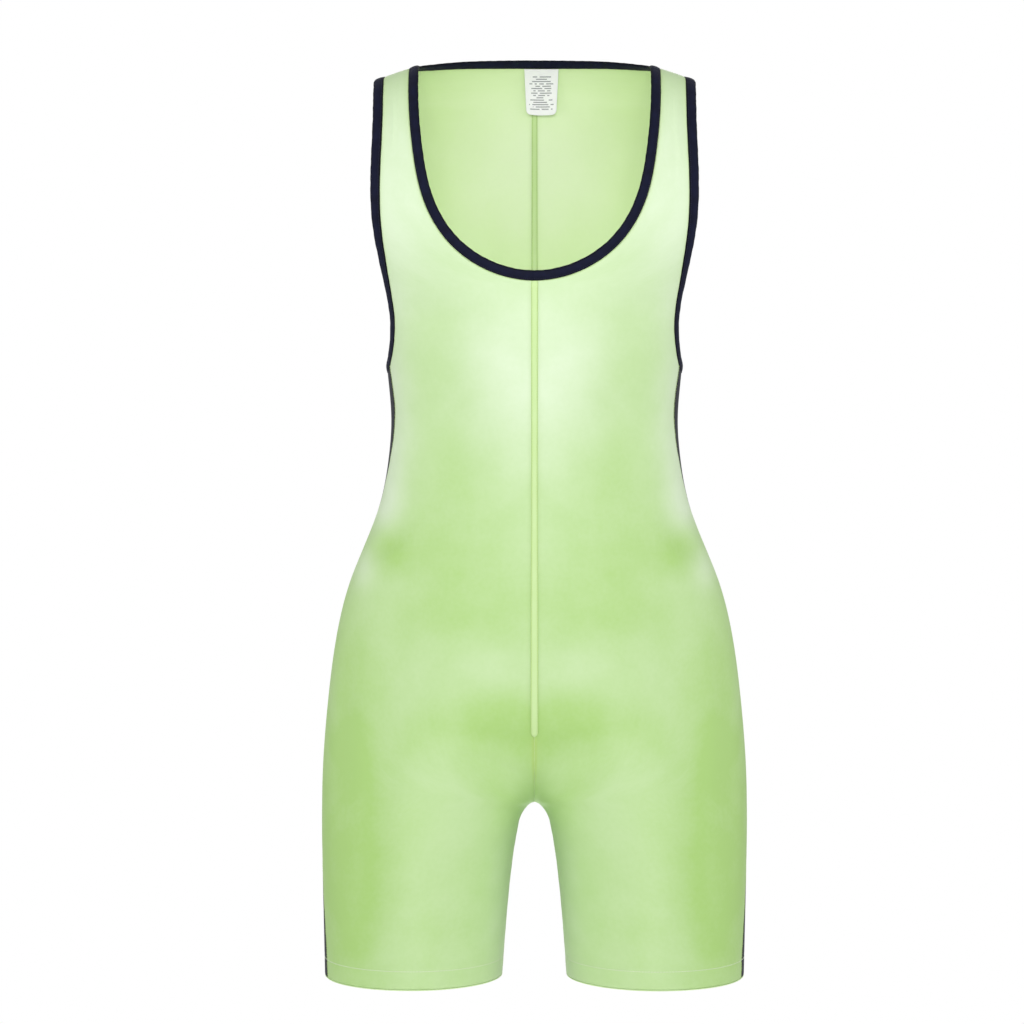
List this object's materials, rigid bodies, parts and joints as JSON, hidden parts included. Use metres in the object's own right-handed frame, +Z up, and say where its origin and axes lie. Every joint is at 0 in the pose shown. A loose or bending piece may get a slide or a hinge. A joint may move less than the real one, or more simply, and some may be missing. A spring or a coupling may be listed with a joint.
{
  "type": "athletic bodysuit",
  "caption": "Sleeveless stretch bodysuit with short legs, a deep scoop neck and bound armholes, filled out as when worn and open at neck, arms and legs",
  "frame": {"origin": "midway between the two shoulders, level with the neck edge where it crosses them, where the wearer's shoulders carry the suit", "axes": "+X to the wearer's left, -Y out of the front, +Z up"},
  "size_m": [0.3794, 0.2232, 0.8168],
  "materials": {
    "lime_knit": "smooth pale lime polyamide and elastane knit with a satin sheen",
    "navy_knit": "smooth near-black navy knit with a satin sheen",
    "navy_binding": "folded navy elastic binding, softly ribbed",
    "label_satin": "white woven satin tape, blank"
  },
  "bodies": {
    "root": {"front_left": "lime_knit", "front_right": "lime_knit", "back_left": "lime_knit", "back_right": "lime_knit", "side_panel_left": "navy_knit", "side_panel_right": "navy_knit", "neck_binding": "navy_binding", "armhole_binding_left": "navy_binding", "armhole_binding_right": "navy_binding", "front_seam_tape": "lime_knit", "back_seam_tape": "lime_knit", "hem_left": "lime_knit", "hem_right": "lime_knit", "neck_label": "label_satin"}
  },
  "joints": []
}
